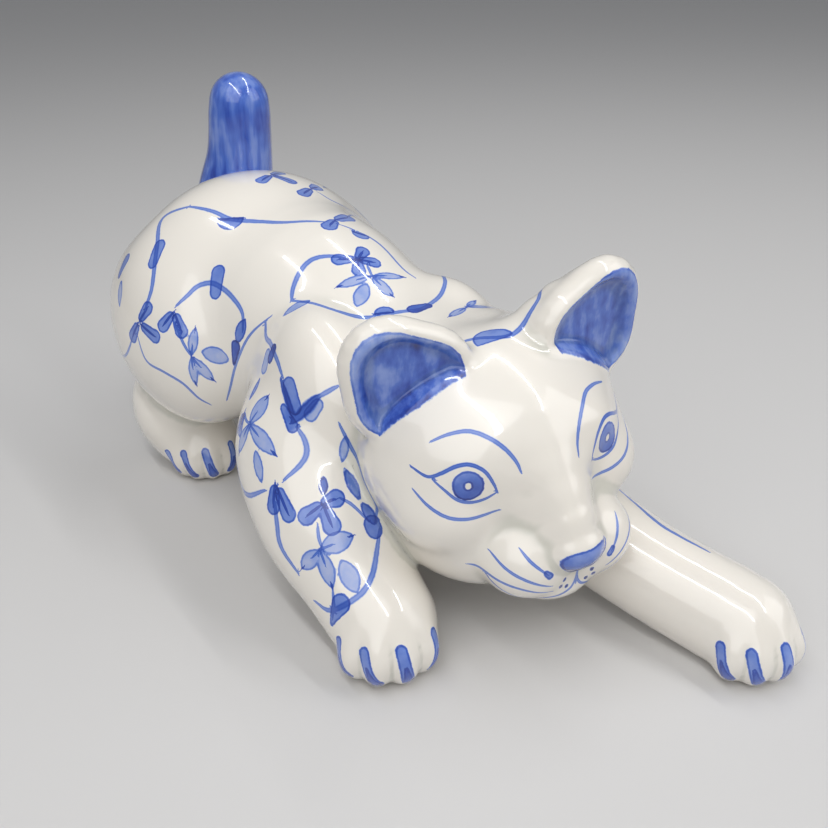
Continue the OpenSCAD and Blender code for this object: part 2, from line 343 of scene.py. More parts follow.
def surface_nets(values, low, step):
    """Quads of the skin: one vertex in each cell that it passes through."""
    inside = values < 0
    nx, ny, nz = values.shape
    corners = [(i, j, k) for i in (0, 1) for j in (0, 1) for k in (0, 1)]
    filled = sum(inside[i:nx - 1 + i, j:ny - 1 + j, k:nz - 1 + k].astype(int) for i, j, k in corners)
    active = (filled > 0) & (filled < 8)
    index = np.full(active.shape, -1)
    index[active] = np.arange(active.sum())
    cells = np.argwhere(active)
    total, weight = np.zeros((len(cells), 3)), np.zeros(len(cells))
    for a in corners:
        for axis in range(3):
            if a[axis]:
                continue
            b = list(a)
            b[axis] = 1
            va, vb = values[tuple((cells + a).T)], values[tuple((cells + b).T)]
            cut = (va < 0) != (vb < 0)
            t = np.where(cut, va / np.where(cut, va - vb, 1), 0)
            at = np.array(a, float) + np.outer(t, np.array(b) - np.array(a))
            total += at * cut[:, None]
            weight += cut
    verts = np.array(low) + (cells + total / weight[:, None]) * step
    quads = []
    for axis in range(3):
        u, v = [i for i in range(3) if i != axis]
        below = [slice(1, -1)] * 3
        above = [slice(1, -1)] * 3
        below[axis], above[axis] = slice(0, -1), slice(1, None)
        first, second = inside[tuple(below)], inside[tuple(above)]
        for sign, found in ((1, first & ~second), (-1, second & ~first)):
            edge = np.argwhere(found)
            edge[:, [u, v]] += 1
            ring = []
            for du, dv in ((0, 0), (-1, 0), (-1, -1), (0, -1)):
                cell = edge.copy()
                cell[:, u] += du
                cell[:, v] += dv
                ring.append(index[tuple(cell.T)])
            quad = np.stack(ring, 1)
            quads.append(quad[:, ::-1] if (sign > 0) == (axis == 1) else quad)
    return verts, np.vstack(quads)


def triangles_of(quads):
    """Two triangles for each quad."""
    return np.vstack([quads[:, [0, 1, 2]], quads[:, [0, 2, 3]]])


def added(index, values, count):
    """Sums of the rows of values that share an index."""
    return np.stack([np.bincount(index, values[:, i], count) for i in range(values.shape[1])], 1)


def face_normals(v, tris):
    """The normal of each triangle, as long as twice its area."""
    return np.cross(v[tris[:, 1]] - v[tris[:, 0]], v[tris[:, 2]] - v[tris[:, 0]])


def normals_of(v, tris):
    """The normal at each vertex."""
    n = face_normals(v, tris)
    return unit(sum(added(tris[:, i], n, len(v)) for i in range(3)))


def edges_of(tris):
    """Every edge once."""
    e = np.sort(np.vstack([tris[:, [0, 1]], tris[:, [1, 2]], tris[:, [2, 0]]]), 1)
    return np.unique(e, axis=0)


def neighbour_mean(values, edges):
    """The mean of each vertex's neighbours' rows."""
    count = len(values)
    a, b = edges.T
    total = added(a, values[b], count) + added(b, values[a], count)
    return total / np.maximum(np.bincount(edges.ravel(), minlength=count), 1)[:, None]


def sponge(v, edges, passes, pulls=(0.5, -0.52)):
    """Smooths the skin without shrinking it, the way a wet sponge takes off ridges."""
    for i in range(passes):
        for pull in pulls:
            v = v + pull * (neighbour_mean(v, edges) - v)
    return v


def skin_mesh(low, high, step, passes):
    """Vertices, normals, triangles and hollowness of the cat's skin inside a box."""
    verts, quads = surface_nets(sampled(cat, low, high, step), low, step)
    tris = triangles_of(quads)
    for i in range(2):
        verts = verts - in_parts(cat, verts)[:, None] * normals_of(verts, tris)
    edges = edges_of(tris)
    verts = sponge(verts, edges, passes)
    verts[:, 2] = np.maximum(verts[:, 2], 0.0)
    normals = normals_of(verts, tris)
    hollow = ((neighbour_mean(verts, edges) - verts) * normals).sum(1, keepdims=True) / step ** 2
    for i in range(3):
        normals = unit(normals + neighbour_mean(normals, edges))
        hollow = (hollow + neighbour_mean(hollow, edges)) / 2
    return verts, normals, tris, hollow


# ---------------------------------------------------------------- parting along the luted seams
def parted(data, tris, side, snap):
    """Cuts triangles where side changes sign. Rows of data are blended at the cuts."""
    side = np.where(np.abs(side) < snap, 0.0, side)
    signs = np.sign(side[tris])
    mixed = (signs.max(1) > 0) & (signs.min(1) < 0)
    keep, cut = tris[~mixed], tris[mixed]
    signs = signs[mixed]
    with_zero = (signs == 0).any(1)
    odd_one = np.argmax(signs == -np.sign(signs.sum(1))[:, None], 1)
    lone = np.where(with_zero, np.argmax(signs == 0, 1), odd_one)
    turned_round = np.take_along_axis(cut, (lone[:, None] + np.arange(3)) % 3, 1)
    a, b, c = turned_round.T
    lone_cut, zero_cut = ~with_zero, with_zero
    pairs = np.vstack([np.stack([a, b], 1)[lone_cut], np.stack([c, a], 1)[lone_cut],
                       np.stack([b, c], 1)[zero_cut]])
    ordered = np.sort(pairs, 1)
    edges, back = np.unique(ordered, axis=0, return_inverse=True)
    back = back.reshape(-1)
    t = (side[edges[:, 0]] / (side[edges[:, 0]] - side[edges[:, 1]]))[:, None]
    fresh = data[edges[:, 0]] * (1 - t) + data[edges[:, 1]] * t
    at = len(data) + back
    k = lone_cut.sum()
    ab, ca, bc = at[:k], at[k:2 * k], at[2 * k:]
    a1, b1, c1 = a[lone_cut], b[lone_cut], c[lone_cut]
    a2, b2, c2 = a[zero_cut], b[zero_cut], c[zero_cut]
    new = np.vstack([np.stack(x, 1) for x in ((a1, ab, ca), (ab, b1, c1), (ab, c1, ca),
                                              (a2, b2, bc), (a2, bc, c2))])
    side = np.concatenate([side, np.zeros(len(fresh))])
    return np.vstack([data, fresh]), np.vstack([keep, new]), side


def islands(tris, count):
    """A label for each triangle's connected patch."""
    label = np.arange(count)
    edges = edges_of(tris)
    while True:
        low = np.minimum(label[edges[:, 0]], label[edges[:, 1]])
        fresh = label.copy()
        np.minimum.at(fresh, edges[:, 0], low)
        np.minimum.at(fresh, edges[:, 1], low)
        fresh = fresh[fresh]
        if (fresh == label).all():
            return label[tris[:, 0]]
        label = fresh


def largest_patch(tris, count):
    """Which triangles lie in the patch with the most of them."""
    if not len(tris):
        return np.zeros(0, bool)
    label = islands(tris, count)
    names, size = np.unique(label, return_counts=True)
    return label == names[np.argmax(size)]


def cut_off(tris, away, mine, count, far=8.0, near=0.7):
    """Scraps that a seam has parted from all the rest; they stay with this cast."""
    index = np.nonzero(~mine & (away < far))[0]
    names, back = np.unique(islands(tris[index], count), return_inverse=True)
    back = back.reshape(-1)
    reach = np.zeros(len(names))
    np.maximum.at(reach, back, away[index])
    return index[reach[back] < near * far]


def seams(p):
    """For each cast, a field that is negative on its own side of its seam."""
    f = fields(p)
    head = np.minimum(f["head_shell"], f["neck"])
    trunk_or_head = np.minimum(f["body_shell"], head)
    out = {"tail": f["tail"] - f["body_shell"]}
    for side in ("right", "left"):
        out[side + "_ear"] = f[side + "_ear"] - trunk_or_head
        out[side + "_foreleg"] = f[side + "_foreleg"] - trunk_or_head
        out[side + "_hind_leg"] = f[side + "_hind_leg"] - f["body_shell"]
    out["head_shell"] = np.maximum(p[:, 1] - NECK_Y, head - f["body_shell"])
    return out


SNAP = 0.2                 # a seam this near a vertex, in steps, goes through it


def pieces_of(data, tris, wanted, step):
    """Parts a mesh into the wanted casts; data's first three columns are places."""
    out = {}
    for name in wanted:
        if name == "body_shell":
            out[name] = (data, tris[largest_patch(tris, len(data))])
            continue
        side = seams(data[:, :3])[name]
        data, tris, side = parted(data, tris, side, SNAP * step)
        corner = side[tris]
        mine = corner[np.arange(len(tris)), np.abs(corner).argmax(1)] < 0
        index = np.nonzero(mine)[0]
        mine[index[~largest_patch(tris[index], len(data))]] = False
        mine[cut_off(tris, np.abs(corner).max(1), mine, len(data))] = True
        out[name] = (data, tris[mine])
        tris = tris[~mine]
    return out


def rim_of(tris):
    """Edges that only one triangle has, in that triangle's direction."""
    e = np.vstack([tris[:, [0, 1]], tris[:, [1, 2]], tris[:, [2, 0]]])
    key = np.sort(e, 1)
    _, first, count = np.unique(key, axis=0, return_index=True, return_counts=True)
    return e[first[count == 1]]


EAR_PEG = np.array([0, 2, -2])      # from the middle of an ear's rim to its root, mm


def shell_of(name, v, n, tris):
    """Places and faces of a closed cast: its skin, the inner skin a wall's thickness in, and the
    rim between them. A solid ear closes on one point instead."""
    rim, count = rim_of(tris), len(v)
    if name.endswith("ear"):
        inner = v[np.unique(rim)].mean(0, keepdims=True) + EAR_PEG
        close = np.stack([rim[:, 1], rim[:, 0], np.full(len(rim), count)], 1)
    else:
        inner = v - WALL * n
        if name.endswith("leg"):
            inner[:, 2] = np.maximum(inner[:, 2], WALL)
        close = np.vstack([tris[:, ::-1] + count,
                           np.stack([rim[:, 1], rim[:, 0], rim[:, 0] + count], 1),
                           np.stack([rim[:, 1], rim[:, 0] + count, rim[:, 1] + count], 1)])
    return np.vstack([v, inner]), np.vstack([tris, close])


def mesh_of(name, verts, faces):
    """A smooth-shaded mesh of triangles."""
    mesh = bpy.data.meshes.new(name)
    mesh.vertices.add(len(verts))
    mesh.vertices.foreach_set("co", verts.ravel())
    mesh.loops.add(faces.size)
    mesh.loops.foreach_set("vertex_index", faces.ravel())
    mesh.polygons.add(len(faces))
    mesh.polygons.foreach_set("loop_start", np.arange(0, faces.size, 3))
    mesh.update(calc_edges=True)
    mesh.validate()
    mesh.polygons.foreach_set("use_smooth", np.ones(len(faces), bool))
    return mesh


def keep_paint(mesh, data):
    """Puts the paint columns on the skin; the inside of a cast stays unpainted."""
    for key, column in PAINT_COLUMNS.items():
        is_vector = len(column) == 3
        values = np.zeros((len(mesh.vertices), len(column)))
        values[len(data):] = UNPAINTED if is_vector else 0.0
        values[:len(data)] = data[:, column]
        layer = mesh.attributes.new(key, "FLOAT_VECTOR" if is_vector else "FLOAT", "POINT")
        layer.data.foreach_set("vector" if is_vector else "value", values.ravel())


def cast(name, data, tris):
    """One painted cast from its patch of skin."""
    used, tris = np.unique(tris, return_inverse=True)
    tris = tris.reshape(-1, 3)
    data = data[used]
    v, n = data[:, :3], data[:, 3:6]
    places, faces = shell_of(name, v, n, tris)
    verts = (places + MIDDLE) * MM
    mesh = mesh_of(name, verts, faces)
    flat = np.repeat(unit(face_normals(verts, faces[len(tris):])), 3, axis=0)
    mesh.normals_split_custom_set(np.vstack([n[tris.ravel()], flat]))
    keep_paint(mesh, data)
    piece = bpy.data.objects.new(name + "_cast", mesh)
    bpy.context.scene.collection.objects.link(piece)
    return piece


# ---------------------------------------------------------------- cobalt painting
# Every touch of the brush is kept as places on the skin. A line has a half width; a wash is a
# leaf, a drop or a cup with a length and a breadth. Tones run from 0, bare glaze, to 1, thick cobalt.
PALE, MIDDLING, DARK, DEEP = 0.34, 0.6, 0.8, 0.92
VINE, THIN_VINE, FORELEG_LINE, LASH = 0.95, 0.55, 0.9, 0.6        # half widths of lines, mm
PAINT_COLUMNS = {"line": [6, 7, 8], "wash": [9, 10, 11], "petal": [12, 13, 14], "hollow": [15]}
UNPAINTED = (9.0, 9.0, 0.0)
REACH = 3.0                # how far round a touch its distances are worked out, mm
TOO_DEEP = 9.0             # a touch doesn't reach skin this far above or below it, mm
LINE_LEVEL, WASH_LEVEL = 0.3, 0.25      # nor skin that faces too far away from it
LINE_MARGIN = 0.55         # how much wider than its line a line's own zone is, in steps


def slope(p, step=0.4):
    """The way out of the skin, as steep as the field is there."""
    return np.stack([cat(p + step * e) - cat(p - step * e) for e in np.eye(3)], 1) / (2 * step)


def on_skin(places):
    """The nearest places on the skin, and the way the skin faces there."""
    p = np.array(places, float)
    for i in range(3):
        g = slope(p)
        p = p - cat(p)[:, None] * g / np.maximum((g * g).sum(1), 0.3)[:, None]
    return p, unit(slope(p))


def on_face(x, z, before_nose=-56.0, pace=0.8):
    """Places in the cat's frame where the face is met at x, z of the head's frame."""
    q = np.stack([x, np.full(len(x), before_nose), z], 1)
    for i in range(24):
        q[:, 1] += pace * skull(q)
    return HEAD_MID + q @ HEAD_TURN.T


def wash_gap(kind, s, t, length, r1, r2):
    """Gap to the outline of a wash at s along it and t beside it, negative inside."""
    if kind == "leaf":
        bow = (length ** 2 / 4 + r1 ** 2) / (2 * r1)
        return np.hypot(s - length / 2, t + bow - r1) - bow
    if kind == "cup":
        return np.maximum(np.hypot(s, t) - r1, -s - 0.12 * r1)
    k = np.clip(s / max(length, 1e-6), 0, 1)
    off_line = np.hypot(s - k * length, t)
    if kind == "ring":
        return np.abs(off_line - (r1 + r2) / 2) - (r1 - r2) / 2
    return off_line - (r1 + k * (r2 - r1))


class Brush:
    """Collects touches, finds their places on the skin once, then lays them on any mesh of it."""

    def __init__(self):
        self.lines, self.washes = [], []

    def settle(self):
        """Brings every touch onto the skin."""
        self.line_places, self.line_facing = on_skin(np.vstack([points for points, *_ in self.lines]))
        self.wash_starts, up_a = on_skin([w[1] for w in self.washes])
        self.wash_ends, up_b = on_skin([w[2] for w in self.washes])
        self.wash_facing = unit(up_a + up_b)

    def line(self, places, half=VINE, tone=MIDDLING, ends=0.35):
        self.lines.append((smooth_line(places, 6), half, tone, ends))

    def wash(self, kind, a, b, r1, r2=None, tone=PALE, layer="wash"):
        self.washes.append((kind, a, b, r1, r1 if r2 is None else r2, tone, layer))

    def leaf(self, a, b, half, tone=PALE, layer="wash"):
        self.wash("leaf", a, b, half, half, tone, layer)

    def drop(self, a, b, r1, r2=None, tone=MIDDLING, layer="petal"):
        self.wash("drop", a, b, r1, r2, tone, layer)

    def cup(self, a, b, r, tone=MIDDLING):
        """Half a round, open towards b, with a dark line along its straight side."""
        a, b = np.array(a, float), np.array(b, float)
        facing = on_skin([a])[1][0]
        rim = 0.9 * r * unit(np.cross(facing, b - a))
        self.wash("cup", a, b, r, r, tone, "petal")
        self.line([a - rim, a, a + rim], 0.7, DEEP)

    def lay(self, v, n, step):
        """Paint columns for the vertices of a mesh of the skin."""
        columns = {key: np.tile(UNPAINTED, (len(v), 1)) for key in ("line", "wash", "petal")}
        self.lay_lines(columns["line"], v, n, step)
        self.lay_washes(columns, v, n)
        return columns

    def lay_lines(self, column, v, n, step):
        """For each vertex: place across the nearest line, from -1 to 1, zone of that line, tone."""
        places, facing = self.line_places, self.line_facing
        start = 0
        for points, half, tone, ends in self.lines:
            k = len(points)
            p, up = places[start:start + k], facing[start:start + k]
            start += k
            near = np.nonzero(((v > p.min(0) - REACH) & (v < p.max(0) + REACH)).all(1))[0]
            if not len(near):
                continue
            q, best = v[near], np.full(len(near), 1e9)
            offset, along = np.zeros(len(near)), np.zeros(len(near))
            for i in range(k - 1):
                ab = p[i + 1] - p[i]
                t = np.clip((q - p[i]) @ ab / max(ab @ ab, 1e-9), 0, 1)
                away = q - p[i] - t[:, None] * ab
                d = np.linalg.norm(away, axis=1)
                closer = d < best
                best[closer] = d[closer]
                offset[closer] = np.sign(away[closer] @ np.cross(ab, up[i]))
                along[closer] = (i + t[closer]) / (k - 1)
            width = half * (ends + (1 - ends) * np.sin(np.pi * np.clip(along, 0.02, 0.98)) ** 0.5)
            level = np.abs((n[near] * up[np.clip((along * (k - 1)).astype(int), 0, k - 1)]).sum(1))
            mark = np.stack([offset * best / width, best / (width + LINE_MARGIN * step),
                             np.full(len(near), tone)], 1)
            better = (mark[:, 1] < column[near, 1]) & (level > LINE_LEVEL)
            column[near[better]] = mark[better]

    def lay_washes(self, columns, v, n):
        """For each vertex: gap to the nearest wash's outline, negative inside, place along it, tone."""
        a, b = self.wash_starts, self.wash_ends
        for i, (kind, _, _, r1, r2, tone, layer) in enumerate(self.washes):
            column = columns[layer]
            up = self.wash_facing[i]
            ab = b[i] - a[i]
            ab = ab - (ab @ up) * up
            length = np.linalg.norm(ab)
            u = ab / length if length > 0.1 else unit(np.cross(up, [0.3, 0.5, 0.8]))
            side = np.cross(up, u)
            middle = (a[i] + b[i]) / 2
            reach = length / 2 + max(r1, r2) + REACH
            near = np.nonzero((np.abs(v - middle) < reach).all(1))[0]
            q = v[near] - a[i]
            s, t = q @ u, np.abs(q @ side)
            gap = wash_gap(kind, s, t, length, r1, r2)
            mark = np.stack([gap, s / max(length, 1.0), np.full(len(near), tone)], 1)
            level = n[near] @ up
            fair = (gap < column[near, 0]) & (level > WASH_LEVEL) & (np.abs(q @ up) < TOO_DEEP)
            column[near[fair]] = mark[fair]


def flower(brush, heart, *petals, r=2.6, tone=MIDDLING):
    """Petals from near the heart outwards, every other one in the other layer, and a dark heart."""
    heart = np.array(heart, float)
    for i, tip in enumerate(petals):
        tip = np.array(tip, float)
        layer = ("petal", "wash")[i % 2]
        brush.drop(heart + 0.35 * (tip - heart), tip, 0.7 * r, r, tone, layer)
        brush.line([heart, heart + 0.6 * (tip - heart), tip], 0.5, DEEP)


def sprig(brush, stem, *leaves):
    """Leaves that share a stem's end; each has its tip and half its breadth."""
    for tip, half in leaves:
        brush.leaf(stem, tip, half)
        tip, stem_end = np.array(tip, float), np.array(stem, float)
        brush.line([stem_end, stem_end + 0.4 * (tip - stem_end)], 0.4, MIDDLING)
        brush.line([stem_end + 0.85 * (tip - stem_end), tip], 0.45, DEEP)


def rump_vines(brush, at):
    """Vines of one side of the rump. at gives a place for that side."""
    brush.line([at(-36, 80, 109), at(-44, 87, 105), at(-51, 77, 99), at(-57, 69, 88), at(-61, 68, 80)])
    brush.drop(at(-51, 76, 100), at(-54, 74, 94), 2.5, 2.2)
    flower(brush, at(-63, 70, 75), at(-61, 67, 81), at(-60, 62, 72), at(-65, 73, 69), r=2.5)
    brush.line([at(-65, 73, 69), at(-65, 76, 64), at(-66, 81, 59), at(-65, 88, 56), at(-60, 100, 58)],
               THIN_VINE)
    brush.line([at(-64, 70, 70), at(-63, 66, 62), at(-60, 58, 60), at(-57, 51, 57), at(-54, 47, 51),
                at(-51, 45, 48)], THIN_VINE)
    flower(brush, at(-55, 57, 82), at(-57, 60, 76), at(-53, 54, 75), r=2.5)
    brush.line([at(-54, 57, 84), at(-50, 56, 87), at(-46, 55, 90), at(-42, 52, 91), at(-40, 46, 90),
                at(-39, 40, 88), at(-39, 35, 85), at(-40, 33, 80)])
    brush.drop(at(-39, 52, 94), at(-42, 49, 88.5), 2.8, 2.4, MIDDLING)
    brush.leaf(at(-39, 33, 84), at(-42, 35, 75), 2.3, MIDDLING, "petal")
    brush.drop(at(-43, 35, 74), at(-44, 36, 67), 2.2, 0.6, DEEP, "wash")
    brush.line([at(-55, 56, 78), at(-55, 51, 72), at(-54, 48, 68)], THIN_VINE)
    sprig(brush, at(-54, 48, 68), (at(-51, 49, 78), 1.9), (at(-49, 42, 59), 2.1), (at(-54, 47, 57), 1.7))
    brush.leaf(at(-51, 46, 70), at(-44, 38, 68), 3.0)
    brush.drop(at(-60, 92, 92), at(-62, 92, 86), 2.6, 1.6)
    brush.leaf(at(-63, 88, 86), at(-64, 84, 76), 1.9)


def shoulder_vines(brush, at):
    """Vines of one shoulder and the upper foreleg."""
    brush.line([at(-34, 23, 87), at(-39, 29, 80), at(-42, 33, 72), at(-44, 37, 63), at(-46, 41, 50)],
               THIN_VINE)
    brush.line([at(-36, 24, 85), at(-38, 20, 82), at(-39, 14, 82), at(-41, 6, 80), at(-42, 1, 77)])
    brush.drop(at(-41, 14, 79), at(-42, 13, 75), 2.1, 2.3, PALE, "wash")
    brush.drop(at(-40, 11, 82), at(-41, 11, 79), 1.7, 1.9, DEEP)
    sprig(brush, at(-53, 5, 62), (at(-47, 4, 71), 3.1), (at(-57, 5, 52), 2.3), (at(-52, -11, 58), 2.6))
    brush.leaf(at(-56, -3, 58), at(-57, -11, 50), 1.9)
    flower(brush, at(-52, 12, 64), at(-56, 13, 57), at(-55, 9, 58), r=1.7)
    brush.leaf(at(-50, 13, 66), at(-47, 14, 74), 1.3, MIDDLING)
    brush.line([at(-52, 11, 63), at(-53, 8, 62), at(-53, 5, 62)], THIN_VINE)
    brush.drop(at(-43, -3, 76), at(-44, -8, 71), 2.8, 2.4)
    brush.line([at(-43, 1, 76), at(-44, -4, 72), at(-45, -9, 68)], 1.2, DEEP)
    brush.drop(at(-46, -4, 70), at(-46, -10, 66), 1.2, 2.0, MIDDLING, "wash")
    brush.line([at(-45, -9, 67), at(-41, -11, 71), at(-38, -13, 75)], 1.9, DEEP)
    brush.drop(at(-41, -13, 70), at(-39, -14, 73), 2.4, 2.0, PALE, "wash")
    brush.line([at(-38, -13, 75), at(-36, -15, 77), at(-34, -18, 80)], 0.8)
    brush.line([at(-45, -11, 66), at(-44, -14, 63), at(-45, -17, 60), at(-48, -18, 57), at(-53, -17, 53)])
    brush.line([at(-57, 8, 48), at(-60, 1, 43), at(-60, -6, 44), at(-58, -13, 49)], VINE)
    flower(brush, at(-55, -15, 52), at(-58, -18, 46), at(-55, -23, 45), r=2.6)
    brush.line([at(-57, -18, 47), at(-58, -21, 41), at(-59, -24, 35), at(-58, -31, 29)])


def foreleg_vines(brush, at):
    """The lower flowers, leaves and bell of the near foreleg."""
    flower(brush, at(-47, -29, 49), at(-52, -28, 46), at(-43, -30, 50), at(-47, -34, 44), r=2.9)
    brush.leaf(at(-46, -28, 51), at(-44, -25, 56), 1.4, DEEP, "petal")
    brush.line([at(-50, -31, 44), at(-51, -33, 41), at(-51, -35, 38)], THIN_VINE)
    brush.line([at(-42, -30, 50), at(-39, -32, 47), at(-36, -36, 42)], THIN_VINE)
    sprig(brush, at(-52, -35, 38), (at(-42, -38, 41), 3.2), (at(-57, -32, 31), 2.6),
          (at(-52, -42, 28), 2.5))
    brush.leaf(at(-48, -40, 36), at(-47, -48, 28), 2.9)
    brush.line([at(-52, -42, 28), at(-53, -44, 24), at(-54, -45, 20)], THIN_VINE)
    brush.drop(at(-52, -46, 25), at(-55, -45, 18), 3.2, 0.7)
    brush.line([at(-58, -38, 22), at(-56, -43, 22), at(-51, -47, 25), at(-46, -49, 29), at(-41, -47, 33),
                at(-36, -42, 37), at(-33, -39, 40)])


def neck_vines(brush, at):
    """The leaves and the round berry behind a cheek."""
    brush.leaf(at(-37, -24, 57), at(-34, -22, 65), 1.5)
    brush.leaf(at(-37, -25, 56), at(-36, -32, 47), 1.7, MIDDLING)
    brush.line([at(-35, -20, 68), at(-34, -24, 62), at(-34, -29, 57), at(-33, -34, 50), at(-33, -37, 42)],
               0.75)
    brush.drop(at(-35, -38, 42), at(-35, -38, 40), 3.0, 3.0)
    brush.leaf(at(-36, -32, 47), at(-34, -37, 40), 1.8, MIDDLING)


def back_vines(brush):
    """Vines over the back, from the tail to the nape."""
    brush.line([(-36, 80, 109), (-31, 70, 109), (-28, 63, 108), (-22, 56, 108), (-14, 47, 108),
                (-4, 41, 108)])
    brush.cup((-28, 63, 108), (-32, 57, 103), 4.7)
    flower(brush, (1, 41, 108), (-3, 38, 107), (8, 44, 107), r=3.0)
    brush.line([(8, 45, 106), (15, 52, 104), (24, 62, 100)], THIN_VINE)
    brush.line([(1, 38, 107), (5, 34, 105), (9, 30, 103), (11, 25, 100), (12, 16, 96), (14, 11, 94)],
               THIN_VINE)
    brush.cup((6, 32, 105), (3, 28, 102), 3.3)
    flower(brush, (-3, 80, 115), (-9, 76, 114), (2, 83, 115), (2, 74, 114), r=2.4)
    flower(brush, (8, 70, 111), (2, 65, 111), (12, 73, 110), r=2.6)
    brush.line([(10, 68, 110), (13, 64, 108), (18, 63, 105), (26, 62, 100)], THIN_VINE)
    brush.line([(-28, 20, 92), (-26, 23, 95), (-21, 26, 99), (-16, 27, 101), (-11, 25, 102), (-7, 22, 102)])
    flower(brush, (-3, 20, 101), (-9, 22, 102), (-5, 16, 99), (2, 18, 99), (1, 23, 102), r=2.5)
    brush.line([(-1, 17, 100), (-2, 13, 97)], THIN_VINE)
    sprig(brush, (-2, 13, 97), ((-15, 14, 96), 1.9), ((10, 11, 95), 1.6), ((0, 3, 93), 2.3))
    brush.leaf((-5, 11, 96), (-13, 5, 92), 2.6)
    brush.leaf((-24, 14, 94), (-34, 17, 90), 2.1)
    brush.line([(-28, 20, 92), (-25, 13, 93), (-22, 7, 93), (-17, 3, 91), (-11, -1, 90), (-4, -4, 91),
                (3, -7, 91), (9, -5, 91), (16, -1, 91), (22, 5, 92), (26, 13, 90)])
    brush.cup((-7, -2, 91), (-4, 3, 93), 3.3)
    brush.drop((2, -6, 91), (7, -6, 91), 2.6, 1.6, DEEP)
    sprig(brush, (18, -12, 89), ((8, -16, 91), 1.7), ((27, -17, 86), 1.7), ((24, -8, 87), 1.2))
    brush.leaf((30, -12, 83), (37, -19, 78), 1.8)
    brush.line([(27, -36, 104), (22, -42, 101), (16, -43, 96), (9, -43, 94), (1, -38, 93), (-7, -36, 94)])
    brush.wash("cup", (5, -42, 93), (6, -33, 94), 6.2, tone=MIDDLING, layer="petal")
    brush.line([(26, 62, 100), (34, 60, 92), (40, 58, 82)], THIN_VINE)


def rear_vines(brush):
    """Vines round the back of the rump, under the tail."""
    brush.line([(-60, 100, 58), (-50, 114, 62), (-36, 122, 70), (-20, 126, 66), (-6, 127, 58), (8, 124, 62),
                (22, 117, 68), (36, 104, 60)])
    flower(brush, (-36, 122, 71), (-41, 119, 77), (-31, 124, 77), (-36, 121, 65), r=2.7)
    sprig(brush, (-13, 127, 62), ((-22, 125, 54), 2.6), ((-6, 127, 52), 2.6), ((-14, 127, 73), 2.4))
    flower(brush, (16, 121, 66), (11, 123, 73), (22, 117, 74), (18, 120, 60), r=2.5)
    brush.leaf((-48, 114, 52), (-43, 117, 43), 2.6)
    brush.leaf((30, 109, 52), (26, 112, 43), 2.6)
    brush.line([(-30, 124, 77), (-24, 121, 88), (-20, 112, 99), (-24, 103, 106)], THIN_VINE)
    brush.drop((-20, 113, 98), (-22, 108, 102), 2.4, 2.4)


CLAW_LENGTH, CLAW_TURN = 5.0, 0.3      # a stroke's run back over its toe, and how far it fans out
CLAW_TOP, CLAW_FOOT = 1.4, 0.5         # heights of its ends, in half heights of the toe


def painted_claws(brush):
    """Four long drops down the toes of every paw."""
    def ahead(angle):
        return np.array([np.sin(angle), -np.cos(angle), 0])

    for line, heading, size, reach, spread in LEGS.values():
        x, y = line[-1][:2]
        for k in TOES:
            a = np.radians(heading + k * spread)
            front = np.array([x, y, 0]) + ahead(a) * (reach + size[1])
            top = front - CLAW_LENGTH * ahead(a * CLAW_TURN) + [0, 0, size[2] * CLAW_TOP]
            foot = front + [0, 0, size[2] * CLAW_FOOT]
            brush.drop(top, foot, 0.26 * size[0], 0.3 * size[0], MIDDLING)
            brush.drop(0.6 * top + 0.4 * foot, foot, 0.1 * size[0], 0.24 * size[0], MIDDLING, "wash")


# Lines of the face: x outwards from the middle of the eyes or the nose, and z, in the head's frame.
# Brow, upper lid with its lash, lower lid and the line under the eye; half width, then tone.
EYE_LINES = [
    ([(28.5, 18.7), (24, 20.8), (19, 21.8), (15, 20.6), (11.8, 18), (9.6, 14.5), (8.8, 11.5)], 0.65),
    ([(34.6, 11.8), (31.8, 10.4), (28.8, 12), (25, 14.4), (21.5, 15), (18.3, 13), (16.3, 9),
      (15.3, 5.8)], LASH, 0.75),
    ([(31, 10.2), (28.8, 7.6), (25.8, 4.4), (22.1, 3.2), (18.4, 3.8), (15.3, 5.8)], 0.5, 0.7),
    ([(35.6, 6), (33.4, 2.8), (29.4, 0), (24, -1.4), (19.4, -1.4), (15, -0.4)], 0.55),
]
WHISKERS = [
    [(27.3, -19.4), (25.2, -19), (22.9, -19), (17.4, -20.6), (8.2, -24.6)],
    [(22.5, -12), (20.7, -14.4), (16.3, -17.2), (9.2, -21.2)],
    [(16, -9.3), (14.3, -12.3), (10.5, -16.3)],
]
MOUTH = [(0, -19.5), (0.4, -24), (2.5, -27), (7.5, -28.6), (14.7, -27), (20.3, -24), (24.4, -19.2)]
WHISKER_BUD = (10, -16.8)
WHISKER_DOTS = ((4.6, -21.0), (5.6, -23.6), (3.4, -24.8))


